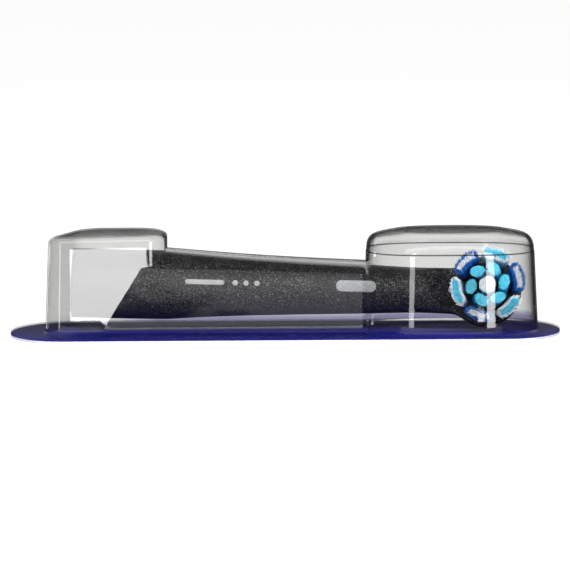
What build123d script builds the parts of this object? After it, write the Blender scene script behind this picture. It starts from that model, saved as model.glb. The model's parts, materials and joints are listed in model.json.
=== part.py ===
"""Replacement brush head of an oscillating toothbrush, sealed in a clear blister on a backing card.

Units are millimetres. The card's underside is z = 0 and its middle is x = y = 0. The head lies along X, with its
bristle disc at +X and its bristles pointing to -Y. The head is drawn in its own tilted and rolled frame, HEAD:
x runs from the sleeve's base along its axis, y is up across it, and z is the way the bristles point.
"""

import os
from math import cos, radians, sin

from build123d import *

os.makedirs("parts", exist_ok=True)

# Backing card
CARD_LENGTH = 101.6
CARD_WIDTH = 36.0
CARD_END = 10.2  # length of each half-elliptical end
CARD_T = 0.4

# Clear blister; heights are above the card's top face
WALL = 0.3
FLANGE_T = 0.4
DOME_HEIGHT = 18.8
BASE_DOME_LEFT = -44.5
BASE_DOME_RIGHT = -22.0
BASE_DOME_WIDTH = 19.2
BASE_DOME_Y = 2.0
BASE_DOME_DRAFT = 1.2  # each wall but the right one leans in this far over its height
BASE_DOME_SLANT = 3.3  # the left wall's back end stands this much further in
FACET_TURN = 7.0  # degrees that the base dome's front right facet is turned
CHANNEL_FOOT_WIDTH = 17.8
CHANNEL_SHOULDER_WIDTH = 14.8
CHANNEL_SHOULDER = (12.1, 11.0)  # height of the straight walls at the left and right ends
CHANNEL_APEX = (15.5, 12.9)
CHANNEL_RIGHT = 17.0
HEAD_DOME_X = 30.7
HEAD_DOME_Y = 0.0

# Pose of the brush head in the pack
HEAD_X = -39.4
HEAD_Y = 2.0
HEAD_HEIGHT = 8.97
HEAD_TILT = 1.59  # degrees, nose down
HEAD_ROLL = 11.5  # degrees, bristles up

# Sleeve: distance from the base, radius
SLEEVE_PROFILE = (
    (0.9, 6.97),
    (10.7, 6.85),
    (17.2, 6.38),
    (23.7, 5.87),
    (31.1, 5.44),
    (42.2, 4.95),
    (53.3, 4.56),
    (62.0, 4.18),
)
NECK_R = 4.1
DISC_U = 76.8  # distance from the base to the bristle disc's axis
CUP_R = 6.4
CUP_BACK = -5.0
CUP_RIM = 1.0
CUP_CAVITY_R = 5.0
CUP_FLOOR = -3.2
CUP_BACK_FILLET = 2.4

# Bores inside the sleeve
INSERT_R = 5.3
INSERT_LENGTH = 18.0
SOCKET_R = 4.3
SOCKET_LENGTH = 12.0
ARMATURE_CHAMBER_R = 3.2
SPRING_CHAMBER_R = 2.8
SPRING_CHAMBER_END = 27.5
ROD_CHANNEL_R = 1.3
HOLLOW_START = SPRING_CHAMBER_END + 2.0
HOLLOW_END = 66.0
HOLLOW_R = (3.6, 2.5)

# Drive parts
ARMATURE_R = 2.3
ARMATURE_START = 13.0
ARMATURE_LENGTH = 4.0
CAP_R = 2.5
ROD_R = 0.8
ROD_END = 71.0
ROD_FOOT = (-2.8, -1.9)  # back and front of the rod's flat end
CRANK_R = 2.2
CRANK_PIN_R = 0.5
STROKE = 0.65  # the rod's travel each way
AXLE_GAP = 0.28  # between the rod's foot and the axle
RUNNING = 0.05  # radial clearance of a running fit
AXLE_R = 0.8
SPRING_COIL_R = 1.75
SPRING_WIRE_R = 0.2
SPRING_TURNS = 5

# Bristle carrier
CARRIER_R = 5.9
HUB_R = 4.5
HUB_BACK = -1.3
CARRIER_BACK = 1.3
PLATE_BACK = 2.2
PLATE_FRONT = 3.2
TUFT_DEPTH = 0.7
INNER_RING_R = 2.75
OUTER_RING_R = 4.75
INNER_LENGTH = 7.6
OUTER_LENGTH = 7.9
INNER_LEAN = 2.1  # sideways travel of an inner tuft's tip
OUTER_SPLAY = 1.2  # outward travel of an outer tuft's tip

# Frame of the brush head
tilt = radians(HEAD_TILT)
roll = radians(HEAD_ROLL)
ALONG = (cos(tilt), 0, -sin(tilt))
FRONT = (sin(roll) * sin(tilt), -cos(roll), sin(roll) * cos(tilt))
HEAD = Plane(origin=(HEAD_X, HEAD_Y, CARD_T + HEAD_HEIGHT), x_dir=ALONG, z_dir=FRONT)
AXIS = Axis(HEAD.origin, HEAD.x_dir)


def across(u):
    """Plane square to the sleeve's axis, u from its base. Its x is the head's y, and its y is the head's z."""
    return Plane(origin=HEAD.from_local_coords((u, 0, 0)), x_dir=HEAD.y_dir, z_dir=HEAD.x_dir)


def save(built, label):
    built.part.label = label
    export_step(built.part, "parts/" + label + ".step")


def cylinder_across(start, end, radius, mode=Mode.ADD):
    """Round bar or bore along the sleeve's axis."""
    with BuildSketch(across(start)) as profile:
        Circle(radius)
    extrude(profile.sketch, amount=end - start, mode=mode)


def disc_front(start, end, radius, u=DISC_U, up=0.0, mode=Mode.ADD):
    """Round bar or bore along the bristle direction."""
    with BuildSketch(HEAD.offset(start)) as profile:
        with Locations((u, up)):
            Circle(radius)
    extrude(profile.sketch, amount=end - start, mode=mode)


def block_front(start, end, left, right, low, high, mode=Mode.ADD):
    """Block between two depths along the bristle direction."""
    with BuildSketch(HEAD.offset(start)) as profile:
        with Locations(((left + right) / 2, (low + high) / 2)):
            Rectangle(right - left, high - low)
    extrude(profile.sketch, amount=end - start, mode=mode)


def sleeve_body(gap, mode=Mode.ADD):
    """The sleeve's outside, turned about its axis and drawn in by gap."""
    points = [(u, r - gap) for u, r in SLEEVE_PROFILE]
    first, last = points[0], points[-1]
    with BuildSketch(HEAD) as profile:
        with BuildLine():
            Line((0, 0), (0, first[1] - 0.9))
            Line((0, first[1] - 0.9), first)
            Spline(*points)
            Line(last, (DISC_U - 3.5, NECK_R - gap))
            Line((DISC_U - 3.5, NECK_R - gap), (DISC_U - 3.5, 0))
            Line((DISC_U - 3.5, 0), (0, 0))
        make_face()
    revolve(profile.sketch, axis=AXIS, mode=mode)


def hollow_neck(mode):
    """The tapered hollow that the drive rod runs through."""
    with BuildSketch(across(HOLLOW_START)) as wide_end:
        Circle(HOLLOW_R[0])
    with BuildSketch(across(HOLLOW_END)) as narrow_end:
        Circle(HOLLOW_R[1])
    loft([wide_end.sketch, narrow_end.sketch], ruled=True, mode=mode)


# ---------------------------------------------------------------- card


def card_outline():
    """Card plan: a rectangle with a half ellipse on each end."""
    Rectangle(CARD_LENGTH - 2 * CARD_END, CARD_WIDTH)
    with Locations((CARD_LENGTH / 2 - CARD_END, 0), (CARD_END - CARD_LENGTH / 2, 0)):
        Ellipse(CARD_END, CARD_WIDTH / 2)


with BuildPart() as backing_card:
    with BuildSketch():
        card_outline()
    extrude(amount=CARD_T)
save(backing_card, "backing_card")

# ---------------------------------------------------------------- blister


def level(height):
    return Plane.XY.offset(CARD_T + height)


def base_dome(gap, foot, mode):
    """Dome over the sleeve's base. gap draws it in, and foot is the height it starts at.
    Its left wall runs aslant, and its right wall is upright."""
    top = DOME_HEIGHT - gap
    steps = ((foot, 0.0), (top - 1.4, 0.92), (top - 0.4, 1.3), (top, 2.2))
    sections = []
    for height, lean in steps:
        inset = gap + BASE_DOME_DRAFT * lean
        left = BASE_DOME_LEFT + inset
        right = BASE_DOME_RIGHT - gap - max(0.0, lean - 0.92)
        front = BASE_DOME_Y - BASE_DOME_WIDTH / 2 + inset
        back = BASE_DOME_Y + BASE_DOME_WIDTH / 2 - inset
        corners = ((left, front), (right, front), (right, back), (left + BASE_DOME_SLANT, back))
        with BuildSketch(level(height)) as section:
            Polygon(*corners, align=None)
            fillet(section.vertices(), 3.6 - 0.4 * lean)
        sections.append(section.sketch)
    loft(sections, ruled=True, mode=mode)


def facet_tool(gap):
    """Block that trims the base dome's front right corner along a slanting crease."""
    turn = radians(FACET_TURN)
    foot_y = BASE_DOME_Y - BASE_DOME_WIDTH / 2
    outward = (sin(turn), -cos(turn), -0.05)
    start = Vector(-33.4, foot_y, CARD_T) - Vector(*outward).normalized() * gap
    with BuildPart(Plane(origin=start, x_dir=(cos(turn), sin(turn), 0), z_dir=outward)) as tool:
        Box(60, 60, 6, align=(Align.CENTER, Align.CENTER, Align.MIN))
    return tool.part


def channel_section(x, gap, foot, shoulder, apex):
    """Section across the channel: two leaning walls and an arched top."""
    half_foot = CHANNEL_FOOT_WIDTH / 2 - gap
    half_shoulder = CHANNEL_SHOULDER_WIDTH / 2 - gap
    with BuildSketch(Plane(origin=(x, BASE_DOME_Y, CARD_T), x_dir=(0, 1, 0), z_dir=(1, 0, 0))) as section:
        with BuildLine():
            Line((-half_foot, foot), (half_foot, foot))
            Line((half_foot, foot), (half_shoulder, shoulder - gap))
            ThreePointArc((half_shoulder, shoulder - gap), (0, apex - gap), (-half_shoulder, shoulder - gap))
            Line((-half_shoulder, shoulder - gap), (-half_foot, foot))
        make_face()
    return section.sketch


def channel(gap, foot, mode):
    left = channel_section(BASE_DOME_RIGHT - 3.0, gap, foot, CHANNEL_SHOULDER[0], CHANNEL_APEX[0])
    right = channel_section(CHANNEL_RIGHT, gap, foot, CHANNEL_SHOULDER[1], CHANNEL_APEX[1])
    loft([left, right], ruled=True, mode=mode)


def head_dome(gap, foot, mode):
    """Dome over the bristle disc: half-width and corner radius at each height."""
    top = DOME_HEIGHT - gap
    steps = ((foot, 15.9, 11.0), (15.2, 15.3, 10.8), (top - 1.2, 14.0, 10.6), (top - 0.3, 12.2, 10.4), (top, 10.5, 9.6))
    sections = []
    for height, half, corner in steps:
        with BuildSketch(level(height)) as section:
            with Locations((HEAD_DOME_X, HEAD_DOME_Y)):
                RectangleRounded(2 * (half - gap), 2 * (half - gap), corner - gap)
        sections.append(section.sketch)
    loft(sections, ruled=True, mode=mode)


with BuildPart() as base_outside:
    base_dome(0, 0, Mode.ADD)
    add(facet_tool(0), mode=Mode.SUBTRACT)

with BuildPart() as base_inside:
    base_dome(WALL, -1.0, Mode.ADD)
    add(facet_tool(WALL), mode=Mode.SUBTRACT)

with BuildPart() as blister_shell:
    with BuildSketch(level(0)):
        card_outline()
    extrude(amount=FLANGE_T)
    add(base_outside.part)
    channel(0, 0, Mode.ADD)
    head_dome(0, 0, Mode.ADD)
    add(base_inside.part, mode=Mode.SUBTRACT)
    channel(WALL, -1.0, Mode.SUBTRACT)
    head_dome(WALL, -1.0, Mode.SUBTRACT)
save(blister_shell, "blister_shell")

# ---------------------------------------------------------------- sleeve

PILL_U = 52.5
PILL_LENGTH = 7.4
PILL_WIDTH = 2.1
PILL_FLOOR = 3.95

with BuildPart() as sleeve:
    sleeve_body(0)
    disc_front(CUP_BACK, CUP_RIM, CUP_R)
    back_edges = sleeve.edges().filter_by(GeomType.CIRCLE).sort_by(Axis(HEAD.origin, HEAD.z_dir))[0]
    fillet(back_edges, CUP_BACK_FILLET)
    disc_front(CUP_FLOOR, 8.0, CUP_CAVITY_R, mode=Mode.SUBTRACT)
    disc_front(CUP_RIM, 8.0, CUP_R + 0.05, mode=Mode.SUBTRACT)
    cylinder_across(-1.0, INSERT_LENGTH, INSERT_R, mode=Mode.SUBTRACT)
    cylinder_across(INSERT_LENGTH - 0.1, SPRING_CHAMBER_END, SPRING_CHAMBER_R, mode=Mode.SUBTRACT)
    cylinder_across(SPRING_CHAMBER_END - 0.1, 69.0, ROD_CHANNEL_R, mode=Mode.SUBTRACT)
    hollow_neck(Mode.SUBTRACT)
    disc_front(CUP_FLOOR - 1.0, 0.0, AXLE_R, mode=Mode.SUBTRACT)
    block_front(-3.1, 1.2, 68.4, 73.4, -1.1, 1.8, mode=Mode.SUBTRACT)
    with BuildSketch(HEAD.offset(PILL_FLOOR)):
        with Locations((PILL_U, 0)):
            SlotOverall(PILL_LENGTH, PILL_WIDTH)
    extrude(amount=3.0, mode=Mode.SUBTRACT)
save(sleeve, "sleeve")

with BuildPart() as id_insert:
    with BuildSketch(HEAD.offset(PILL_FLOOR)):
        with Locations((PILL_U, 0)):
            SlotOverall(PILL_LENGTH - 0.04, PILL_WIDTH - 0.04)
    extrude(amount=3.0)
    sleeve_body(0.03, mode=Mode.INTERSECT)
save(id_insert, "id_insert")

# ---------------------------------------------------------------- handle socket

CLIP_START = 3.0
CLIP_END = 9.0
CLIP_WIDTH = 2.4

with BuildPart() as connector_insert:
    cylinder_across(0.3, INSERT_LENGTH, INSERT_R)
    cylinder_across(0.3, 0.3 + SOCKET_LENGTH, SOCKET_R, mode=Mode.SUBTRACT)
    cylinder_across(0.2 + SOCKET_LENGTH, INSERT_LENGTH, ARMATURE_CHAMBER_R, mode=Mode.SUBTRACT)
    for side in (-1, 1):
        with BuildSketch(across(CLIP_START)):
            with Locations((side * 4.85, 0)):
                Rectangle(0.5, CLIP_WIDTH)
        extrude(amount=CLIP_END - CLIP_START, mode=Mode.SUBTRACT)
save(connector_insert, "connector_insert")


def latch_clip(label, side):
    """Leaf spring that lies in a pocket in the socket's wall."""
    with BuildPart() as clip:
        with BuildSketch(across(CLIP_START)):
            with Locations((side * 4.85, 0)):
                Rectangle(0.5, CLIP_WIDTH)
        extrude(amount=CLIP_END - CLIP_START)
        with BuildSketch(across(CLIP_START + 0.6)):
            with Locations((side * 5.0, 0)):
                Rectangle(0.3, CLIP_WIDTH)
        extrude(amount=CLIP_END - CLIP_START - 1.2, mode=Mode.SUBTRACT)
    save(clip, label)


latch_clip("latch_clip_top", 1)
latch_clip("latch_clip_bottom", -1)

# ---------------------------------------------------------------- drive rod

CAP_START = ARMATURE_START + ARMATURE_LENGTH - 1.5

with BuildPart() as armature:
    cylinder_across(ARMATURE_START, ARMATURE_START + ARMATURE_LENGTH, ARMATURE_R - 0.5)
    cylinder_across(ARMATURE_START, CAP_START, ARMATURE_R)
save(armature, "armature")

with BuildPart() as armature_cap:
    cylinder_across(CAP_START, CAP_START + 4.0, CAP_R)
    cylinder_across(CAP_START, CAP_START + 1.5, ARMATURE_R - 0.5, mode=Mode.SUBTRACT)
    cylinder_across(CAP_START + 1.5, CAP_START + 4.0, ROD_R, mode=Mode.SUBTRACT)
save(armature_cap, "armature_cap")

with BuildPart() as motion_rod:
    cylinder_across(CAP_START + 1.5, ROD_END, ROD_R)
    block_front(ROD_FOOT[0], ROD_R, ROD_END - 1.5, ROD_END, -ROD_R, ROD_R)
    block_front(ROD_FOOT[0], ROD_FOOT[1], ROD_END - 1.5, DISC_U - 1.9, -ROD_R, 1.5)
    block_front(ROD_FOOT[0], ROD_FOOT[1], DISC_U - 2.8, DISC_U, 1.1, CRANK_R)
    disc_front(ROD_FOOT[0], ROD_FOOT[1], 1.1, up=CRANK_R)
    with BuildSketch(HEAD.offset(ROD_FOOT[0])):
        with Locations((DISC_U, 0)):
            SlotOverall(2 * (AXLE_R + AXLE_GAP + STROKE), 2 * (AXLE_R + AXLE_GAP))
    extrude(amount=2.0, mode=Mode.SUBTRACT)
    with BuildSketch(HEAD.offset(ROD_FOOT[0])):
        with Locations((DISC_U, CRANK_R - 0.05)):
            SlotOverall(1.3, 2 * (CRANK_PIN_R + RUNNING), rotation=90)
    extrude(amount=2.0, mode=Mode.SUBTRACT)
save(motion_rod, "motion_rod")

SPRING_START = CAP_START + 4.0 + SPRING_WIRE_R
SPRING_END = SPRING_CHAMBER_END - SPRING_WIRE_R
spring_pitch = (SPRING_END - SPRING_START) / SPRING_TURNS
spring_helix = Helix(spring_pitch, SPRING_END - SPRING_START, SPRING_COIL_R)
spring_path = across(0).location * Pos(0, 0, SPRING_START) * spring_helix

with BuildPart() as return_spring:
    with BuildSketch(Plane(origin=spring_path @ 0, z_dir=spring_path % 0)):
        Circle(SPRING_WIRE_R)
    sweep(path=spring_path, is_frenet=True)
save(return_spring, "return_spring")

# ---------------------------------------------------------------- bristle carrier

with BuildPart() as pivot_axle:
    disc_front(CUP_FLOOR - 1.0, 0.9, AXLE_R)
save(pivot_axle, "pivot_axle")

with BuildPart() as crank_pin:
    disc_front(ROD_FOOT[0] + 0.1, 0.2, CRANK_PIN_R, up=CRANK_R)
save(crank_pin, "crank_pin")

with BuildPart() as brush_carrier:
    disc_front(HUB_BACK, CARRIER_BACK, HUB_R)
    disc_front(CARRIER_BACK, PLATE_BACK, CARRIER_R)
    disc_front(HUB_BACK, 1.0, AXLE_R + RUNNING, mode=Mode.SUBTRACT)
    disc_front(HUB_BACK, 0.2, CRANK_PIN_R, up=CRANK_R, mode=Mode.SUBTRACT)
save(brush_carrier, "brush_carrier")

# ---------------------------------------------------------------- tufts


def tuft_frame(height, radius, degrees):
    """Plane at a height along the bristle direction, centred on a point of a ring and turned to face outward."""
    centre = HEAD.from_local_coords((DISC_U + radius * cos(radians(degrees)), radius * sin(radians(degrees)), height))
    outward = HEAD.x_dir * cos(radians(degrees)) + HEAD.y_dir * sin(radians(degrees))
    return Plane(origin=centre, x_dir=outward, z_dir=HEAD.z_dir)


def oval_tuft(radius, degrees, length, lean, wide, deep):
    """Tuft of oval plan whose tip leans round the ring."""
    with BuildPart() as tuft:
        with BuildSketch(tuft_frame(PLATE_FRONT - TUFT_DEPTH, radius, degrees)):
            Ellipse(deep, wide)
        with BuildSketch(tuft_frame(PLATE_FRONT + length, radius, degrees)):
            with Locations((0, lean)):
                Ellipse(deep * 1.12, wide * 1.12)
        loft(ruled=True)
    return tuft


def curved_tuft(radius, degrees, length, splay, half_angle, thick):
    """Tuft of curved plan that leans outward and swells towards its tip."""
    with BuildPart() as tuft:
        for height, ring, width in ((-TUFT_DEPTH, radius, thick), (length, radius + splay, thick + 0.7)):
            with BuildSketch(tuft_frame(PLATE_FRONT + height, 0, degrees)):
                with BuildLine():
                    outer = CenterArc((0, 0), ring + width / 2, -half_angle, 2 * half_angle)
                    inner = CenterArc((0, 0), ring - width / 2, -half_angle, 2 * half_angle)
                    Line(outer @ 0, inner @ 0)
                    Line(outer @ 1, inner @ 1)
                make_face()
        loft(ruled=True)
    return tuft


tufts = {"tuft_center": oval_tuft(0, 0, INNER_LENGTH - 0.3, 0, 1.35, 1.35)}
for number in range(6):
    angle = 47 + 60 * number
    label = "tuft_inner_" + str(number + 1)
    tufts[label] = oval_tuft(INNER_RING_R, angle, INNER_LENGTH, INNER_LEAN, 1.0, 0.78)
for number in range(3):
    tufts["tuft_outer_blue_" + str(number + 1)] = curved_tuft(
        OUTER_RING_R, 15 + 120 * number, OUTER_LENGTH, OUTER_SPLAY, 25, 1.55
    )
    tufts["tuft_outer_white_" + str(number + 1)] = curved_tuft(
        OUTER_RING_R, 75 + 120 * number, OUTER_LENGTH, OUTER_SPLAY, 25, 1.55
    )

with BuildPart() as tuft_plate:
    disc_front(PLATE_BACK, PLATE_FRONT, CARRIER_R)
    for tuft in tufts.values():
        add(tuft.part, mode=Mode.SUBTRACT)
save(tuft_plate, "tuft_plate")

for label, tuft in tufts.items():
    save(tuft, label)
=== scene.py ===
"""Looks of a packaged toothbrush head: clear blister, navy card, black sleeve and filament tufts.

Shapes are worked out in millimetres and scaled to metres when a mesh is made. The brush head is drawn in its
own frame, HEAD: x along the sleeve from its base, y up across it, z the way the bristles point.
"""

import json
import random
from math import asin, cos, hypot, pi, radians, sin, sqrt

import bmesh
import bpy
from mathutils import Matrix, Vector


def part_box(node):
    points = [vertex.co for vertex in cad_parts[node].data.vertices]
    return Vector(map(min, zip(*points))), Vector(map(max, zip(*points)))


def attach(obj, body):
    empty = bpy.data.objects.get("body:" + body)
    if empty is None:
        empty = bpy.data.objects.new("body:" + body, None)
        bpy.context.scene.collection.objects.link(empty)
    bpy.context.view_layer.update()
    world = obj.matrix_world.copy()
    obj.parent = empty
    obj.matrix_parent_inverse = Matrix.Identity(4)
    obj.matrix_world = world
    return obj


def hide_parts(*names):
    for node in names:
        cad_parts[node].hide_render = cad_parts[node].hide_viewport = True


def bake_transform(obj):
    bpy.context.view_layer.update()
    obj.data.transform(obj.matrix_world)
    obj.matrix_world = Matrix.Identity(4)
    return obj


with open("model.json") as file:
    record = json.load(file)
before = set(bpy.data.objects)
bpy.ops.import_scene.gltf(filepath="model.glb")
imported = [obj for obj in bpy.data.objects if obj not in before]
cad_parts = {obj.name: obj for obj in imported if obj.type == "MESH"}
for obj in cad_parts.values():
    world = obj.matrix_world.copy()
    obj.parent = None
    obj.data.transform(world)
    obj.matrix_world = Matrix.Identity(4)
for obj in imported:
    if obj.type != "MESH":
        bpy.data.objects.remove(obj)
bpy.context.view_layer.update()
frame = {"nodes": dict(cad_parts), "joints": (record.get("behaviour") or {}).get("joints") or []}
MM = 0.001
WELD = 1e-7  # metres; points nearer than this are one point

# ---------------------------------------------------------------- frame of the head

joints = {j["name"]: j for j in frame["joints"]}
along = Vector(joints["rod_slide"]["axis"]).normalized()
front = Vector(joints["carrier_spin"]["axis"]).normalized()
up = front.cross(along).normalized()
DISC_U = 76.8  # from the sleeve's base to the middle of the bristle disc
disc_centre = Vector(joints["carrier_spin"]["pos_m"])
head_origin = disc_centre - along * DISC_U * MM
card_low, card_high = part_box("backing_card")
blister_low, blister_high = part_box("blister_shell")
CARD_TOP = card_high[2] / MM
CARD_HALF_X = card_high[0] / MM
CARD_HALF_Y = card_high[1] / MM
DOME_TOP = blister_high[2] / MM - CARD_TOP


def head_point(u, high, out):
    """A point of the head's frame, in metres."""
    return head_origin + (along * u + up * high + front * out) * MM


# ---------------------------------------------------------------- mesh helpers


def make_object(name, points, faces, material=None, sharp=35.0):
    """Object of a new mesh, in metres. Edges that turn more than sharp degrees stay crisp."""
    mesh = bpy.data.meshes.new(name)
    mesh.from_pydata([tuple(p) for p in points], [], faces)
    mesh.validate()
    piece = bpy.data.objects.new(name, mesh)
    bpy.context.scene.collection.objects.link(piece)
    shade(piece, sharp)
    if material:
        mesh.materials.append(material)
    return piece


def shade(piece, sharp):
    piece.data.shade_smooth()
    piece.data.set_sharp_from_angle(angle=radians(sharp))


def weld(piece):
    """Welds doubles and turns every face outward."""
    work = bmesh.new()
    work.from_mesh(piece.data)
    bmesh.ops.remove_doubles(work, verts=work.verts, dist=WELD)
    bmesh.ops.dissolve_degenerate(work, dist=WELD, edges=work.edges)
    bmesh.ops.recalc_face_normals(work, faces=work.faces)
    work.to_mesh(piece.data)
    work.free()


def stack(name, rings, material=None, sharp=35.0, capped=True):
    """Skins a stack of equal closed rings and caps its ends."""
    count = len(rings[0])
    points = [p for ring in rings for p in ring]
    faces = []
    for level in range(len(rings) - 1):
        for i in range(count):
            a, b = level * count + i, level * count + (i + 1) % count
            faces.append((a, b, b + count, a + count))
    if capped:
        faces.append(tuple(reversed(range(count))))
        faces.append(tuple(range((len(rings) - 1) * count, len(rings) * count)))
    piece = make_object(name, points, faces, material, sharp)
    weld(piece)
    shade(piece, sharp)
    return piece


def apply_modifier(piece, kind, **settings):
    """Gives the piece the mesh that a modifier makes of it."""
    modifier = piece.modifiers.new(kind.lower(), kind)
    for key, value in settings.items():
        setattr(modifier, key, value)
    depsgraph = bpy.context.evaluated_depsgraph_get()
    result = bpy.data.meshes.new_from_object(piece.evaluated_get(depsgraph))
    piece.modifiers.clear()
    piece.data = result


def combine(piece, other, operation):
    """Boolean with another piece, which is used up."""
    apply_modifier(piece, "BOOLEAN", operation=operation, object=other, solver="EXACT")
    bpy.data.objects.remove(other)


# ---------------------------------------------------------------- materials


class Nodes:
    """A material's node tree, with short ways to add to it."""

    def __init__(self, name):
        self.material = bpy.data.materials.new(name)
        self.material.use_nodes = True
        self.tree = self.material.node_tree
        self.tree.nodes.clear()
        self.out = self.add("ShaderNodeOutputMaterial")

    def add(self, kind, inputs=None, **settings):
        node = self.tree.nodes.new(kind)
        for key, value in settings.items():
            setattr(node, key, value)
        for key, value in (inputs or {}).items():
            if isinstance(value, bpy.types.NodeSocket):
                self.tree.links.new(value, node.inputs[key])
            else:
                node.inputs[key].default_value = value
        return node

    def coords(self):
        return self.add("ShaderNodeTexCoord").outputs["Object"]

    def noise(self, scale, detail=3.0, rough=0.5):
        inputs = {"Vector": self.coords(), "Scale": scale, "Detail": detail, "Roughness": rough}
        return self.add("ShaderNodeTexNoise", inputs).outputs["Fac"]

    def ramp(self, fac, stops):
        """Colour ramp through stops of place and colour."""
        node = self.add("ShaderNodeValToRGB", {"Fac": fac})
        ramp = node.color_ramp
        while len(ramp.elements) < len(stops):
            ramp.elements.new(0.5)
        for element, (place, colour) in zip(ramp.elements, stops):
            element.position = place
            element.color = tuple(colour) + (1.0,)
        return node.outputs["Color"]

    def spread(self, fac, low, high, start=0.3, end=0.7):
        """Maps start to end onto low to high, and holds the ends."""
        inputs = {"Value": fac, "From Min": start, "From Max": end, "To Min": low, "To Max": high}
        return self.add("ShaderNodeMapRange", inputs).outputs["Result"]

    def maths(self, operation, *values):
        node = self.add("ShaderNodeMath", operation=operation)
        for slot, value in enumerate(values):
            if isinstance(value, bpy.types.NodeSocket):
                self.tree.links.new(value, node.inputs[slot])
            else:
                node.inputs[slot].default_value = value
        return node.outputs[0]

    def bump(self, height, distance, strength=1.0):
        inputs = {"Height": height, "Distance": distance, "Strength": strength}
        return self.add("ShaderNodeBump", inputs).outputs["Normal"]

    def finish(self, shader):
        self.tree.links.new(shader, self.out.inputs["Surface"])
        return self.material


def moulded(name, dark, light, rough, grain_mm, bump_mm, metal=0.0, stops=(0.36, 0.64), blotch=0.25):
    """Moulded or drawn stuff: fine grain in colour, roughness and relief, over a slow drift."""
    n = Nodes(name)
    grain = n.noise(1.0 / (grain_mm * MM), 2.0, 0.6)
    drift = n.noise(180.0, 2.0)
    mixed = n.maths("ADD", n.maths("MULTIPLY", grain, 1.0 - blotch), n.maths("MULTIPLY", drift, blotch))
    inputs = {
        "Base Color": n.ramp(mixed, ((stops[0], dark), (stops[1], light))),
        "Metallic": metal,
        "Roughness": n.spread(grain, rough - 0.07, rough + 0.07),
        "Normal": n.bump(grain, bump_mm * MM),
    }
    return n.finish(n.add("ShaderNodeBsdfPrincipled", inputs).outputs[0])


# Painted reflection of the card: the card's navy is painted into the see-through colour at the foot of the
# blister, where the sheet turns into the flange. It is painted most in the back walls, and least in the square
# dome.
PAINTED_CARD_REFLECTION = (0.46, 0.46, 0.64)
NO_TINT = (1.0, 1.0, 1.0)


def clear_sheet(name, clear, least_mirror, edge_mirror, rough, painted_reflection=PAINTED_CARD_REFLECTION):
    """Thin clear sheet: see-through, with a mirror that grows towards its edges and slight forming ripples. Low
    on the walls, the card's navy is painted into its see-through colour as a painted reflection.
    """
    n = Nodes(name)
    ripple = n.noise(140.0, 1.5, 0.4)
    fine = n.noise(900.0, 2.0, 0.5)
    height = n.maths("ADD", ripple, n.maths("MULTIPLY", fine, 0.05))
    normal = n.bump(height, 0.05 * MM, 0.5)
    facing = n.add("ShaderNodeLayerWeight", {"Blend": 0.5}).outputs["Facing"]
    mirror = n.maths("MULTIPLY_ADD", n.maths("POWER", facing, 4.6), edge_mirror, least_mirror)
    mid = tuple(0.93 * c for c in clear)
    edge = tuple(0.55 * c for c in clear)
    tint = n.ramp(facing, ((0.0, clear), (0.75, mid), (1.0, edge)))
    # Painted reflection of the card: low on the walls the see-through colour is painted towards the card's
    # navy, most at the back and least in the square dome.
    place = n.add("ShaderNodeSeparateXYZ", {"Vector": n.coords()})
    share = n.maths(
        "MULTIPLY",
        n.spread(place.outputs["Y"], 0.3, 1.0, 0.0, 8.0 * MM),
        n.spread(place.outputs["X"], 0.3, 1.0, -34.0 * MM, -24.0 * MM),
    )
    foot = n.spread(place.outputs["Z"], 0.0, 1.0, (CARD_TOP + 0.1) * MM, (CARD_TOP + 2.8) * MM)
    middle = tuple(0.25 + 0.75 * c for c in painted_reflection)
    painted_reflection_colour = n.ramp(foot, ((0.0, painted_reflection), (0.5, middle), (1.0, NO_TINT)))
    both = n.add("ShaderNodeMix", {0: share, 6: tint, 7: painted_reflection_colour}, data_type="RGBA", blend_type="MULTIPLY")
    through = n.add("ShaderNodeBsdfTransparent", {"Color": both.outputs[2]}).outputs[0]
    shine = {"Color": (1, 1, 1, 1), "Roughness": rough, "Normal": normal}
    gloss = n.add("ShaderNodeBsdfGlossy", shine).outputs[0]
    mix = n.add("ShaderNodeMixShader", {0: mirror, 1: through, 2: gloss})
    return n.finish(mix.outputs[0])


def printed_card():
    """Navy print on the card's top, pale layered fibre on its cut edge, and grey board below."""
    n = Nodes("printed_card")
    normal = n.add("ShaderNodeNewGeometry").outputs["Normal"]
    side = n.add("ShaderNodeSeparateXYZ", {"Vector": normal}).outputs["Z"]
    fibre = n.noise(2600.0, 4.0, 0.6)
    drift = n.noise(90.0, 2.0)
    navy = n.ramp(n.maths("MULTIPLY_ADD", fibre, 0.35, n.maths("MULTIPLY", drift, 0.65)), (
        (0.35, (0.010, 0.010, 0.160)),
        (0.65, (0.015, 0.015, 0.235)),
    ))
    edge = n.ramp(fibre, ((0.3, (0.33, 0.33, 0.50)), (0.7, (0.66, 0.66, 0.78))))
    board = n.ramp(fibre, ((0.3, (0.45, 0.45, 0.44)), (0.7, (0.60, 0.60, 0.58))))
    is_top = n.spread(side, 0.0, 1.0, 0.5, 0.7)
    is_under = n.spread(side, 1.0, 0.0, -0.7, -0.5)
    low = n.add("ShaderNodeMix", {0: is_under, 6: edge, 7: board}, data_type="RGBA").outputs[2]
    colour = n.add("ShaderNodeMix", {0: is_top, 6: low, 7: navy}, data_type="RGBA").outputs[2]
    inputs = {
        "Base Color": colour,
        "Roughness": n.spread(is_top, 0.75, 0.45, 0.0, 1.0),
        "Specular IOR Level": 0.12,
        "Normal": n.bump(fibre, 0.012 * MM),
    }
    return n.finish(n.add("ShaderNodeBsdfPrincipled", inputs).outputs[0])


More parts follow.
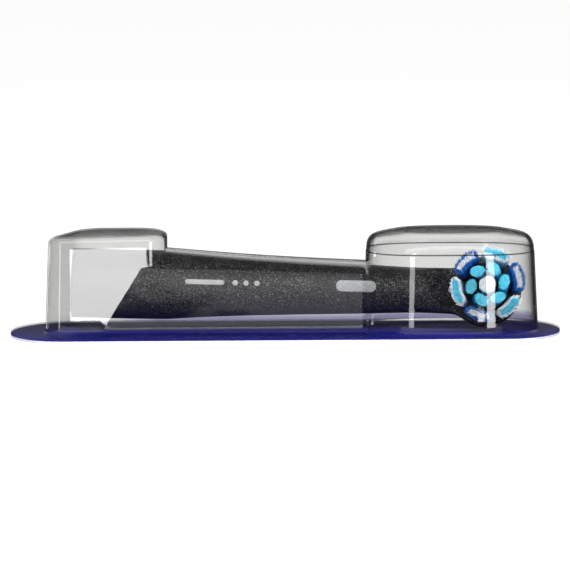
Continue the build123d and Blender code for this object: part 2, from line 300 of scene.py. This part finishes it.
def bristle(name, root, body, tip):
    """Nylon filament: colour runs from a darker root, painted shade from deep in the tuft, through its body to
    a lighter tip, and each filament differs a little.
    """
    n = Nodes(name)
    data = n.add("ShaderNodeAttribute", attribute_name="filament").outputs["Vector"]
    split = n.add("ShaderNodeSeparateXYZ", {"Vector": data})
    # Painted shade: the lower part of each filament is painted darker, for the shade deep in the tuft.
    length = n.ramp(split.outputs["X"], ((0.0, root), (0.45, body), (0.9, body), (1.0, tip)))
    vary = n.spread(split.outputs["Y"], 0.72, 1.18, 0.0, 1.0)
    shaded = n.add("ShaderNodeMix", {0: 1.0, 6: length, 7: vary}, data_type="RGBA", blend_type="MULTIPLY")
    grain = n.noise(9000.0, 2.0)
    inputs = {
        "Base Color": shaded.outputs[2],
        "Roughness": n.spread(grain, 0.34, 0.5),
        "Subsurface Weight": 0.15,
        "Subsurface Radius": (0.0006, 0.0006, 0.0008),
        "Normal": n.bump(grain, 0.004 * MM),
    }
    return n.finish(n.add("ShaderNodeBsdfPrincipled", inputs).outputs[0])


# The sleeve's fine moulded texture is real; the light grey flecks in its colour are painted glints, standing in
# for the sparkle of that texture in light.
satin_black_painted_glints = moulded(
    "satin_black_painted_glints", (0.003, 0.003, 0.003), (0.26, 0.26, 0.27), 0.36, 0.23, 0.06, stops=(0.53, 0.78), blotch=0.06
)
disc_black = moulded("disc_black", (0.006, 0.006, 0.007), (0.020, 0.020, 0.022), 0.45, 0.3, 0.02)
inner_black = moulded("inner_black", (0.015, 0.015, 0.016), (0.045, 0.045, 0.048), 0.50, 0.35, 0.02)
pill_grey = moulded("pill_grey", (0.20, 0.20, 0.21), (0.34, 0.35, 0.36), 0.42, 0.25, 0.02)
mark_print = moulded("mark_print", (0.25, 0.25, 0.25), (0.40, 0.40, 0.40), 0.45, 0.22, 0.01)
ground_steel = moulded("ground_steel", (0.42, 0.42, 0.43), (0.66, 0.66, 0.67), 0.28, 0.12, 0.006, metal=1.0)
drawn_wire = moulded("drawn_wire", (0.34, 0.34, 0.35), (0.55, 0.55, 0.57), 0.24, 0.08, 0.004, metal=1.0)
clear_plastic = clear_sheet("clear_sheet", (0.934, 0.936, 0.930), 0.042, 0.92, 0.04)
roof_plastic = clear_sheet("roof_sheet", (0.955, 0.955, 0.95), 0.03, 0.55, 0.10)
foot_plastic = clear_sheet("foot_sheet", (0.934, 0.936, 0.930), 0.03, 0.50, 0.24)
sealed_plastic = clear_sheet("sealed_sheet", (0.965, 0.965, 0.97), 0.02, 0.12, 0.30, NO_TINT)
# Painted shade: along the forming line the sheet is painted to let through less than half the light, a painted
# dark line at the crease.
crease_painted_shade = clear_sheet("crease_painted_shade_sheet", (0.42, 0.42, 0.42), 0.03, 0.4, 0.10)
navy_card = printed_card()
# The root colours below are painted shade from deep in the tufts.
cyan_bristle = bristle("cyan_bristle", (0.02, 0.22, 0.42), (0.04, 0.58, 0.95), (0.20, 0.84, 1.0))
white_bristle = bristle("white_bristle", (0.30, 0.42, 0.60), (0.80, 0.90, 1.0), (0.98, 0.99, 1.0))
blue_bristle = bristle("blue_bristle", (0.004, 0.02, 0.10), (0.012, 0.11, 0.46), (0.03, 0.19, 0.60))

# ---------------------------------------------------------------- card


CARD_END = 10.2


def card_plan(grow, per_end=48, per_side=24):
    """Outline of the card: straight long sides and half-elliptical ends."""
    points = []
    for sign in (1, -1):
        for i in range(per_end + 1):
            angle = -pi / 2 + pi * i / per_end
            x = CARD_HALF_X - CARD_END + (CARD_END + grow) * cos(angle)
            points.append((sign * x, sign * (CARD_HALF_Y + grow) * sin(angle)))
        for i in range(1, per_side):
            x = (CARD_HALF_X - CARD_END) * (1 - 2 * i / per_side)
            points.append((sign * x, sign * (CARD_HALF_Y + grow)))
    return points


def card_ring(grow, z):
    return [Vector((x, y, z)) * MM for x, y in card_plan(grow)]


card_edge = ((-0.02, 0.0), (0.0, 0.02), (0.0, CARD_TOP - 0.02), (-0.02, CARD_TOP))
card = stack("card_board", [card_ring(g, z) for g, z in card_edge], navy_card, sharp=50)
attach(card, "card")
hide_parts("backing_card")

# ---------------------------------------------------------------- blister


def rounded_plan(middle, half, corners, per_corner=12, per_side=10):
    """Rounded rectangle. corners holds the radii at +x+y, -x+y, -x-y and +x-y."""
    cx, cy = middle
    hx, hy = half
    signs = ((1, 1), (-1, 1), (-1, -1), (1, -1))
    arcs = []
    for k, ((sx, sy), r) in enumerate(zip(signs, corners)):
        centre = (cx + sx * (hx - r), cy + sy * (hy - r))
        angles = [k * pi / 2 + pi / 2 * i / per_corner for i in range(per_corner + 1)]
        arcs.append([(centre[0] + r * cos(angle), centre[1] + r * sin(angle)) for angle in angles])
    points = []
    for k in range(4):
        points += arcs[k]
        a, b = arcs[k][-1], arcs[(k + 1) % 4][0]
        for i in range(1, per_side):
            t = i / per_side
            points.append((a[0] + (b[0] - a[0]) * t, a[1] + (b[1] - a[1]) * t))
    return points


def squircle_plan(middle, half, power, count=128):
    """Closed curve between a circle (power 2) and a square."""
    points = []
    for i in range(count):
        angle = 2 * pi * i / count
        c, s = cos(angle), sin(angle)
        reach = (abs(c) ** power + abs(s) ** power) ** (-1 / power)
        points.append((middle[0] + half * reach * c, middle[1] + half * reach * s))
    return points


def at_height(plan, height):
    """Ring at a height above the card's top."""
    return [Vector((x, y, CARD_TOP + height)) * MM for x, y in plan]


# Height and inset of each ring where a wall turns out into the flange, and where the straight wall starts.
FOOT_FLARE = ((0.0, -0.75), (0.42, -0.62), (0.55, -0.36), (0.78, -0.14), (1.2, 0.0))
WALL_START = 1.2


def quarter_fillet(start_z, end_z, reach, steps=8):
    """Heights and insets of a fillet that turns from a wall into a top."""
    out = []
    for i in range(1, steps + 1):
        angle = pi / 2 * i / steps
        out.append((start_z + (end_z - start_z) * sin(angle), reach * (1 - cos(angle))))
    return out


BASE_LEFT, BASE_RIGHT, BASE_HALF = -44.5, -21.9, 9.6
BASE_ROOF = DOME_TOP - 0.25
MIDDLE_Y = 2.0  # the head, the square dome and the channel lie this far behind the card's middle line
# The square dome's front wall goes through FRONT_START. Its turn and lean are slopes.
FRONT_START = (-33.4, -6.78)
FRONT_TURN, FRONT_LEAN = 0.192, 0.01


def base_dome():
    """Square dome over the sleeve's base. Its left wall and roof run aslant, and its front wall is turned."""
    wall_end = BASE_ROOF - 1.3
    levels = list(FOOT_FLARE)
    levels += [(WALL_START + (wall_end - WALL_START) * i / 8, 0.0) for i in range(1, 9)]
    levels += quarter_fillet(wall_end, BASE_ROOF, 1.0)
    rings = []
    for z, inset in levels:
        share = min(1.0, z / BASE_ROOF)
        left = BASE_LEFT + 0.9 * share + inset
        right = BASE_RIGHT - (2.6 * inset if inset > 0 else inset)
        half = BASE_HALF - 0.4 * share - inset
        corners = (4.0, 4.4, 4.4 - 0.8 * share, 3.0)
        ring = []
        for x, y in rounded_plan(((left + right) / 2, MIDDLE_Y), ((right - left) / 2, half), corners):
            if y < MIDDLE_Y:
                wall = FRONT_START[1] + FRONT_TURN * (x - FRONT_START[0]) + FRONT_LEAN * z + inset
                y = MIDDLE_Y - (MIDDLE_Y - y) * (MIDDLE_Y - wall) / half
            slant = 0.34 * max(y + 6.0, 0.0) * min(max((-31.0 - x) / 10.0, 0.0), 1.0)
            drop = 0.5 * min(max((9.0 - y) / 15.0, 0.0), 1.0)
            ring.append(Vector((x + slant, y, CARD_TOP + z - drop * share**6)) * MM)
        rings.append(ring)
    return stack("base_dome", rings)


def arc_point(half, low, high, share):
    """Point of a circular arch, from its +y foot to its -y foot."""
    rise = high - low
    radius = (half * half + rise * rise) / (2 * rise)
    open_angle = 2 * asin(half / radius)
    angle = open_angle * (0.5 - share)
    return radius * sin(angle), high - radius * (1 - cos(angle))


CHANNEL_LEFT, CHANNEL_RIGHT = -22.0, 14.0  # the part of it that shows between the two domes
FLARE_START, FLARE_R = 13.55, 1.6  # where its walls bend out into the round dome


def channel():
    """Low channel over the neck: two leaning walls, a shoulder line and an arched top."""
    stations = [-35.0 + 3.0 * i for i in range(17)]
    stations += [FLARE_START + FLARE_R * sin(pi / 2 * i / 10) for i in range(11)]
    stations += [19.5]
    rings = []
    for x in stations:
        t = (x - CHANNEL_LEFT) / (CHANNEL_RIGHT - CHANNEL_LEFT)
        shoulder = 12.1 - 1.1 * t
        apex = 15.45 - 2.55 * t - 0.25 * sin(pi * min(max(t, 0), 1))
        bend = min(max(x - FLARE_START, 0.0), FLARE_R)
        flare_out = FLARE_R - sqrt(FLARE_R**2 - bend**2)
        half_foot, half_shoulder = 8.9 + flare_out, 7.3 + flare_out
        wall = []
        for z, flare in FOOT_FLARE:
            wall.append((half_foot - flare - (half_foot - half_shoulder) * z / shoulder, z))
        for i in range(1, 7):
            z = WALL_START + (shoulder - WALL_START) * i / 6
            wall.append((half_foot - (half_foot - half_shoulder) * z / shoulder, z))
        arch = []
        for i in range(1, 24):
            arch.append(arc_point(half_shoulder, shoulder, apex, i / 24))
        section = wall + arch + [(-y, z) for y, z in reversed(wall)]
        rings.append([Vector((x, MIDDLE_Y + y, CARD_TOP + z)) * MM for y, z in section])
    return stack("channel", rings, sharp=18)


DOME_X, DOME_HALF = 30.5, 16.1
RING_LINE = 14.85  # height of the forming line
# Inset, and rise above the forming line, of each ring of the round dome's shoulder.
SHOULDER = (
    (0.70, 0.11), (0.66, 0.24), (0.68, 0.70), (0.76, 1.30), (0.95, 1.90), (1.25, 2.40), (1.65, 2.75),
    (2.20, 3.03), (3.00, 3.27), (4.00, 3.48), (5.00, 3.68), (5.50, 3.78), (5.80, 3.82), (8.00, 3.86),
)


def head_dome():
    """Round dome over the bristle disc, with a forming line where its wall meets its shoulder."""
    levels = list(FOOT_FLARE)
    levels += [(WALL_START + (RING_LINE - WALL_START) * i / 8, 0.6 * i / 8) for i in range(1, 9)]
    levels += [(RING_LINE + rise, inset) for inset, rise in SHOULDER]
    levels += [(DOME_TOP, 14.0)]
    rings = []
    for z, inset in levels:
        power = 3.0 - 0.6 * max(0.0, (z - RING_LINE) / (DOME_TOP - RING_LINE))
        rings.append(at_height(squircle_plan((DOME_X, 0.0), DOME_HALF - inset, power), z))
    return stack("head_dome", rings, sharp=12)


def flange():
    levels = ((-0.02, 0.0), (0.0, 0.06), (0.0, 0.34), (-0.06, 0.4))
    return stack("flange", [at_height(card_plan(grow - 0.01), z) for grow, z in levels])


def sharpen_seams(piece):
    """Keeps a crisp line where two formed shapes meet, however flat the angle."""
    work = bmesh.new()
    work.from_mesh(piece.data)
    for edge in work.edges:
        if len({face.material_index for face in edge.link_faces}) > 1:
            edge.smooth = False
    work.to_mesh(piece.data)
    work.free()


def open_underside(piece):
    """Takes away the flat faces that lie on the card."""
    work = bmesh.new()
    work.from_mesh(piece.data)
    low = (CARD_TOP + 0.05) * MM
    under = [f for f in work.faces if f.normal.z < -0.9 and f.calc_center_median().z < low]
    bmesh.ops.delete(work, geom=under, context="FACES")
    work.to_mesh(piece.data)
    work.free()


SHEET = 0.28
CLEAR, SEALED, CREASE, FOOT, ROOF = range(5)


def finish_of(face):
    """Which finish a face of the blister has, by where it lies."""
    high = face.center.z / MM - CARD_TOP
    x = face.center.x / MM
    from_dome = hypot(x - DOME_X, face.center.y / MM)
    if high < 0.5:
        return SEALED
    if high < 1.15:
        return FOOT
    # Faces along the forming line take the sheet with the painted dark line.
    if RING_LINE < high < RING_LINE + 0.25 and x > CHANNEL_RIGHT and from_dome > 13:
        return CREASE
    if high > RING_LINE + 1.0 and abs(face.normal.z) > 0.9 and not CHANNEL_LEFT < x < CHANNEL_RIGHT:
        return ROOF
    return CLEAR


# Each formed shape has its own material number until the seams between them are found.
blister = flange()
shapes = (blister, base_dome(), channel(), head_dome())
for number, shape in enumerate(shapes):
    for _ in shapes:
        shape.data.materials.append(clear_plastic)
    for face in shape.data.polygons:
        face.material_index = number
for shape in shapes[1:]:
    combine(blister, shape, "UNION")
open_underside(blister)
apply_modifier(blister, "SOLIDIFY", thickness=SHEET * MM, offset=-1.0, use_even_offset=False)
shade(blister, 24)
sharpen_seams(blister)
blister.name = "blister"
blister.data.materials.clear()
for material in (clear_plastic, sealed_plastic, crease_painted_shade, foot_plastic, roof_plastic):
    blister.data.materials.append(material)
for face in blister.data.polygons:
    face.material_index = finish_of(face)
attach(blister, "blister")
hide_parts("blister_shell")

# ---------------------------------------------------------------- sleeve

# Distance from the sleeve's base, and radius there.
PROFILE = (
    (0.0, 6.55), (0.25, 6.85), (0.9, 6.97), (3.0, 6.96), (10.7, 6.85), (14.4, 6.66), (17.2, 6.38), (23.7, 5.87),
    (31.1, 5.44), (38.5, 5.12), (42.2, 4.95), (49.6, 4.70), (53.3, 4.56), (60.7, 4.24), (64.0, 4.14),
)


def sleeve_radius(u):
    """Radius of the sleeve at a distance from its base, by a smooth curve through PROFILE."""
    if u >= PROFILE[-1][0]:
        return PROFILE[-1][1]
    for k in range(len(PROFILE) - 1):
        (u0, r0), (u1, r1) = PROFILE[k], PROFILE[k + 1]
        if u <= u1:
            before = PROFILE[max(k - 1, 0)]
            after = PROFILE[min(k + 2, len(PROFILE) - 1)]
            m0 = (r1 - before[1]) / (u1 - before[0])
            m1 = (after[1] - r0) / (after[0] - u0)
            t = (u - u0) / (u1 - u0)
            h = u1 - u0
            near = (2 * t**3 - 3 * t**2 + 1) * r0 + (t**3 - 2 * t**2 + t) * h * m0
            return near + (3 * t**2 - 2 * t**3) * r1 + (t**3 - t**2) * h * m1
    return PROFILE[-1][1]


def soft_max(a, b, soft):
    """The larger of two lengths, with the change from one to the other rounded."""
    return (a + b + sqrt((a - b) ** 2 + soft * soft)) / 2


def ease(t):
    """Smooth step from 0 to 1."""
    t = min(max(t, 0.0), 1.0)
    return t * t * (3 - 2 * t)


CUP_R, CUP_BACK, CUP_RIM = 6.4, 5.0, 1.0
NECK_END = 64.0  # where the neck starts to widen into the cup
# Round rooms along the sleeve's axis: start, end and radius.
ROOMS = {"bore": (-1.0, 17.9, 5.3), "spring_room": (17.0, 27.5, 2.8), "neck_room": (27.0, 70.0, 1.3)}
CUP_ROOM = (-3.2, 3.0, 5.0)  # low, high and radius of the room behind the disc
PILL_SEAT = (52.5, 7.46, 2.16, 3.95, 6.0)  # middle, length, width, low and high of the grey pill's seat


def sleeve_section(u, count=96):
    """Cross-section: round along the neck, then wider and squarer as it becomes the cup behind the disc."""
    r = sleeve_radius(u)
    blend = ease((u - NECK_END) / 8.5)
    reach = CUP_R**2 - (u - DISC_U) ** 2
    cup_half = sqrt(reach) if reach > 0 else 0.0
    if u > DISC_U:
        half = cup_half
    else:
        half = min(soft_max(r - 0.02, cup_half, 1.1), CUP_R)
    tail = sqrt(max(0.0, 1 - max(0.0, (u - DISC_U) / CUP_R) ** 2.6))
    back = r + (CUP_BACK - r) * blend
    back = 1.0 + (back - 1.0) * (0.25 + 0.75 * tail) if u > DISC_U else back
    rim = r + (CUP_RIM - r) * ease((u - 63.5) / 7.5)
    power = 2.0 + 1.1 * blend
    points = []
    for i in range(count):
        angle = 2 * pi * i / count
        c, s = cos(angle), sin(angle)
        size = (abs(c) ** power + abs(s) ** power) ** (-1 / power)
        out = s * size * (rim if s > 0 else back)
        if s > 0:
            flat = s * size
            out = rim * (flat ** (1 - 0.75 * blend)) if blend > 0 else out
        points.append(head_point(u, c * size * half, out))
    return points


def sleeve_shape():
    stations = [0.0, 0.12, 0.3, 0.6, 0.9, 1.4, 2.0]
    stations += [3.0 + 1.5 * i for i in range(41)]
    stations += [NECK_END + 0.6 * i for i in range(21)]
    stations += [DISC_U + CUP_R * sin(pi / 2 * i / 16) for i in range(16)]
    stations.append(DISC_U + CUP_R - 0.01)
    body = stack("sleeve_body", [sleeve_section(u) for u in sorted(set(stations))], sharp=40)
    for name, (start, end, radius) in ROOMS.items():
        combine(body, tube_along(name, start, end, radius), "DIFFERENCE")
    combine(body, disc_solid("cup_room", *CUP_ROOM), "DIFFERENCE")
    combine(body, slot_solid("pill_seat", *PILL_SEAT), "DIFFERENCE")
    return body


def circle(radius, count):
    angles = [2 * pi * i / count for i in range(count)]
    return [(radius * cos(angle), radius * sin(angle)) for angle in angles]


def tube_along(name, start, end, radius):
    """Round bar along the sleeve's axis."""
    plan = circle(radius, 72)
    return stack(name, [[head_point(u, a, b) for a, b in plan] for u in (start, end)])


def disc_solid(name, low, high, radius):
    """Round bar on the bristle disc's axis."""
    plan = circle(radius, 96)
    return stack(name, [[head_point(DISC_U + a, b, z) for a, b in plan] for z in (low, high)])


def slot_outline(middle, length, width, per_end=16):
    """Outline of a bar with round ends that lies along the sleeve."""
    r = width / 2
    points = []
    for sign in (1, -1):
        for i in range(per_end + 1):
            angle = -pi / 2 + pi * i / per_end
            points.append((middle + sign * (length / 2 - r + r * cos(angle)), sign * r * sin(angle)))
    return points


def slot_solid(name, middle, length, width, low, high):
    outline = slot_outline(middle, length, width)
    return stack(name, [[head_point(u, v, z) for u, v in outline] for z in (low, high)])


sleeve = sleeve_shape()
sleeve.data.materials.clear()
sleeve.data.materials.append(satin_black_painted_glints)
shade(sleeve, 38)
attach(sleeve, "brush_head")
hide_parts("sleeve")


PRINT_LIFT, PRINT_T = 0.02, 0.03


def printed_patch(name, outline):
    """Thin print that follows the sleeve's round front. The outline is in distance along it and across it."""
    middle_u = sum(p[0] for p in outline) / len(outline)
    middle_v = sum(p[1] for p in outline) / len(outline)
    rings = []
    for share in (1.0, 0.75, 0.5, 0.25, 0.04):
        ring = []
        for u, v in outline:
            a = middle_u + (u - middle_u) * share
            b = middle_v + (v - middle_v) * share
            r = sleeve_radius(a) + PRINT_LIFT
            ring.append(head_point(a, b, sqrt(max(r * r - b * b, 0))))
        rings.append(ring)
    patch = stack(name, rings, mark_print, capped=False)
    centre = head_point(middle_u, middle_v, sleeve_radius(middle_u))
    work = bmesh.new()
    work.from_mesh(patch.data)
    inner = [e for e in work.edges if e.is_boundary and (e.verts[0].co - centre).length < 0.4 * MM]
    bmesh.ops.holes_fill(work, edges=inner)
    work.to_mesh(patch.data)
    work.free()
    apply_modifier(patch, "SOLIDIFY", thickness=PRINT_T * MM, offset=0.0)
    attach(patch, "brush_head")


# A plain bar and three dots, in place of the print the real sleeve carries.
printed_patch("mark_bar", slot_outline(24.6, 7.2, 0.9))
for number, place in enumerate((30.2, 32.2, 34.2)):
    printed_patch(f"mark_dot_{number + 1}", slot_outline(place, 1.0, 0.98))

# ---------------------------------------------------------------- tufts

PLATE_FRONT = 3.2
ROOT_DEPTH = 0.4  # how far a filament reaches into the plate
FILAMENT_R = 0.082
PITCH = 0.165  # between neighbouring filaments
random.seed(11)


def filament(points, faces, marks, root, tip, shade_value, sides=5, steps=5):
    """Adds one bent, round-ended filament to the lists."""
    radius = FILAMENT_R * MM
    axis = (tip - root).normalized()
    side = axis.orthogonal().normalized()
    other = axis.cross(side)
    bend = (side * random.uniform(-1, 1) + other * random.uniform(-1, 1)) * 0.09 * MM
    rings = []
    for k in range(steps + 2):
        t = min(k / steps, 1.0)
        size = radius
        middle = root.lerp(tip, t) + bend * sin(pi * t)
        if k == steps:
            size = radius * 0.92
        if k == steps + 1:
            middle = middle + axis * radius * 0.55
            size = radius * 0.45
        first = len(points)
        for i in range(sides):
            angle = 2 * pi * i / sides
            points.append(middle + (side * cos(angle) + other * sin(angle)) * size)
            marks.append((t, shade_value))
        rings.append(first)
    for a, b in zip(rings, rings[1:]):
        for i in range(sides):
            j = (i + 1) % sides
            faces.append((a + i, a + j, b + j, b + i))
    faces.append(tuple(rings[-1] + i for i in range(sides)))
    faces.append(tuple(reversed([rings[0] + i for i in range(sides)])))


def build_tuft(node, placed, materials, picks):
    """One mesh of filaments. placed holds the root, tip and shade of each, and picks its material's number."""
    points, faces, marks, face_material = [], [], [], []
    for (root, tip, shade_value), pick in zip(placed, picks):
        before = len(faces)
        filament(points, faces, marks, root, tip, shade_value)
        face_material += [pick] * (len(faces) - before)
    piece = make_object(node + "_filaments", points, faces, None, 60)
    for material in materials:
        piece.data.materials.append(material)
    for polygon, pick in zip(piece.data.polygons, face_material):
        polygon.material_index = pick
    data = piece.data.attributes.new("filament", "FLOAT_VECTOR", "POINT")
    for item, (t, value) in zip(data.data, marks):
        item.vector = (t, value, 0.0)
    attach(piece, "carrier")
    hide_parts(node)
    return piece


def spots(inside, width, height):
    """Close-packed spots, slightly shaken, where inside() is above zero, with its value there."""
    found = []
    rows = int(height / (PITCH * 0.87)) + 1
    columns = int(width / PITCH) + 1
    for row in range(-rows, rows + 1):
        for column in range(-columns, columns + 1):
            x = (column + 0.5 * (row % 2)) * PITCH + random.uniform(-0.22, 0.22) * PITCH
            y = row * PITCH * 0.87 + random.uniform(-0.22, 0.22) * PITCH
            depth = inside(x, y)
            if depth > 0:
                found.append((x, y, depth))
    return found


def disc_point(x, y, z):
    return head_point(DISC_U + x, y, z)


DRIFT = (up * 0.2 - along * 0.35) * MM  # every tuft leans a little up and back
INNER_RING, OUTER_RING = 2.85, 4.75
OUTER_LENGTH, OUTER_HALF_ANGLE, OUTER_THICK, OUTER_SPLAY = 7.75, radians(25), 1.5, 1.2
LONGEST = 8.3


def oval_tuft(node, radius, degrees, length, lean, wide, deep, material):
    """Oval tuft of one colour at a radius from the disc's middle. Its tip leans round the disc."""
    turn = radians(degrees)
    outward, around = (cos(turn), sin(turn)), (-sin(turn), cos(turn))

    def put(a, b, z):
        return disc_point(outward[0] * a + around[0] * b, outward[1] * a + around[1] * b, z)

    placed = []
    for x, y, depth in spots(lambda a, b: 1 - hypot(a / deep, b / wide), deep, wide):
        splay = 1.12 + random.uniform(-0.02, 0.05)
        rise = PLATE_FRONT + length + random.uniform(-0.16, 0.12) - 0.25 * (1 - depth) ** 2
        root = put(radius + x, y, PLATE_FRONT - ROOT_DEPTH)
        tip_x = radius + x * splay + random.uniform(-0.05, 0.05)
        tip_y = y * splay + lean + random.uniform(-0.06, 0.06)
        placed.append((root, put(tip_x, tip_y, rise) + DRIFT, random.random()))
    return build_tuft(node, placed, [material], [0] * len(placed))


def curved_tuft(node, degrees, materials, core):
    """Curved tuft of the outer ring. Filaments deeper in it than core have the second material."""
    half_length, half_thick = OUTER_RING * OUTER_HALF_ANGLE, OUTER_THICK / 2

    def inside(a, b):
        a, b = abs(a) / half_thick, abs(b) / half_length
        if a >= 1 or b >= 1 or a**2.6 + b**3.4 >= 1:
            return -1
        return min(1 - a, 1 - b**2.4)

    placed, picks = [], []
    for a, b, depth in spots(inside, OUTER_THICK, half_length):
        turn = radians(degrees) + b / OUTER_RING
        spread = 1.06 * b / OUTER_RING + radians(degrees) + random.uniform(-0.012, 0.012)
        ring = OUTER_RING + a
        tip_ring = OUTER_RING + a * 1.5 + OUTER_SPLAY + random.uniform(-0.08, 0.08)
        high = OUTER_LENGTH + 0.35 * a + random.uniform(-0.2, 0.15) - 0.35 * (b / half_length) ** 2
        root = disc_point(ring * cos(turn), ring * sin(turn), PLATE_FRONT - ROOT_DEPTH)
        tip = disc_point(tip_ring * cos(spread), tip_ring * sin(spread), PLATE_FRONT + min(high, LONGEST))
        placed.append((root, tip + DRIFT, random.random()))
        picks.append(1 if depth > core else 0)
    return build_tuft(node, placed, materials, picks)


oval_tuft("tuft_center", 0, 0, 7.2, 0, 1.35, 1.35, white_bristle)
for number in range(6):
    node = f"tuft_inner_{number + 1}"
    oval_tuft(node, INNER_RING, 47 + 60 * number, 7.5, 1.2, 1.25, 0.85, cyan_bristle)
for number in range(3):
    node = f"tuft_outer_blue_{number + 1}"
    curved_tuft(node, 15 + 120 * number, [blue_bristle, white_bristle], 0.56)
    node = f"tuft_outer_white_{number + 1}"
    curved_tuft(node, 75 + 120 * number, [white_bristle, cyan_bristle], 0.48)

# ---------------------------------------------------------------- parts kept from the CAD

SPRING_START, SPRING_END = 19.7, 27.3
SPRING_TURNS, SPRING_COIL_R, SPRING_WIRE_R = 5, 1.75, 0.2


def coil_spring(per_turn=28, per_wire=10):
    """Coil of round wire along the sleeve's axis, from SPRING_START to SPRING_END."""
    rings = []
    for i in range(SPRING_TURNS * per_turn + 1):
        turn = 2 * pi * i / per_turn
        u = SPRING_START + (SPRING_END - SPRING_START) * i / (SPRING_TURNS * per_turn)
        ring = []
        for a, b in circle(SPRING_WIRE_R, per_wire):
            reach = SPRING_COIL_R + a
            ring.append(head_point(u + b, reach * cos(turn), reach * sin(turn)))
        rings.append(ring)
    return stack("spring_coil", rings, drawn_wire)


spring = coil_spring()
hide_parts("return_spring")
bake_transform(spring)

KEPT = {
    "id_insert": pill_grey,
    "connector_insert": inner_black,
    "latch_clip_top": drawn_wire,
    "latch_clip_bottom": drawn_wire,
    "pivot_axle": ground_steel,
    "motion_rod": ground_steel,
    "armature": ground_steel,
    "armature_cap": inner_black,
    "brush_carrier": disc_black,
    "tuft_plate": disc_black,
    "crank_pin": ground_steel,
}
for node, material in KEPT.items():
    part = frame["nodes"][node]
    part.data.materials.clear()
    part.data.materials.append(material)

# ---------------------------------------------------------------- floor, light and camera


def floor_material():
    n = Nodes("floor_white")
    tone = n.ramp(n.noise(6.0, 2.0), ((0.3, (0.12, 0.12, 0.12)), (0.7, (0.13, 0.13, 0.13))))
    soft = n.add("ShaderNodeBsdfDiffuse", {"Color": tone}).outputs[0]
    glow = n.add("ShaderNodeEmission", {"Color": (1, 1, 1, 1), "Strength": 0.97}).outputs[0]
    return n.finish(n.add("ShaderNodeAddShader", {0: soft, 1: glow}).outputs[0])


floor_corners = [(-12, -6, 0), (12, -6, 0), (12, 16, 0), (-12, 16, 0)]
floor = make_object("floor", floor_corners, [(0, 1, 2, 3)], floor_material())
floor.visible_glossy = False

world = bpy.data.worlds.new("studio")
bpy.context.scene.world = world
world.use_nodes = True
sky = world.node_tree.nodes["Background"].inputs
sky["Color"].default_value = (0.9, 0.95, 1.0, 1)
sky["Strength"].default_value = 0.015


def panel(name, place, target, width, height, radiance):
    """Softbox of a given brightness, turned to face a point."""
    data = bpy.data.lights.new(name, "AREA")
    data.shape = "RECTANGLE"
    data.size, data.size_y = width, height
    data.energy = radiance * pi * width * height
    lamp = bpy.data.objects.new(name, data)
    bpy.context.scene.collection.objects.link(lamp)
    lamp.location = place
    lamp.rotation_euler = (Vector(target) - Vector(place)).to_track_quat("-Z", "Y").to_euler()
    return lamp


# The blister's walls are flat and face different ways, so each panel is placed where one of them mirrors it.
panel("key", (0.2428, -0.80, -0.0425), (0.2428, 0, -0.0425), 0.090, 0.085, 8.5)
panel("right_strip", (0.42, -0.80, 0.0), (0.42, 0, 0.0), 0.18, 0.30, 7.0)
panel("left_strip", (-0.36, -0.80, 0.0), (-0.36, 0, 0.0), 0.12, 0.30, 4.0)
panel("left_back", (-0.61, 0.48, -0.02), (0.02, 0, -0.02), 0.12, 0.08, 5.0)
panel("front_fill", (0.0, -1.2, 0.3855), (0, 0, 0.3855), 2.2, 0.34, 0.55)
panel("back_high", (0.0, 1.2, 0.75), (0, 0, 0.75), 2.0, 0.7, 0.9)
panel("front_high", (0.0, -1.2, 0.83), (0, 0, 0.83), 2.2, 0.54, 1.9)
soft = panel("front_soft", (0.0, -0.8, 0.5), (0, 0, 0.01), 1.4, 0.6, 9.0)
soft.visible_glossy = False

CAMERA_DISTANCE = 0.75
VIEW_WIDTH = 105.45 * MM  # what the view takes in, at the target
ELEVATION, ROLL = radians(5.0), radians(-0.36)
SENSOR = 36.0
target = Vector((0.0, 0.0, 8.87 * MM))
camera_data = bpy.data.cameras.new("camera")
camera_data.sensor_width = SENSOR
camera_data.lens = SENSOR * CAMERA_DISTANCE / VIEW_WIDTH
camera_data.clip_start = 0.01
camera_data.clip_end = 50.0
camera = bpy.data.objects.new("camera", camera_data)
bpy.context.scene.collection.objects.link(camera)
camera.location = target + Vector((0, -cos(ELEVATION), sin(ELEVATION))) * CAMERA_DISTANCE
aim = (target - camera.location).to_track_quat("-Z", "Y").to_matrix().to_4x4()
camera.rotation_euler = (aim @ Matrix.Rotation(ROLL, 4, "Z")).to_euler()
bpy.context.scene.camera = camera
bpy.context.scene.view_settings.view_transform = "Standard"
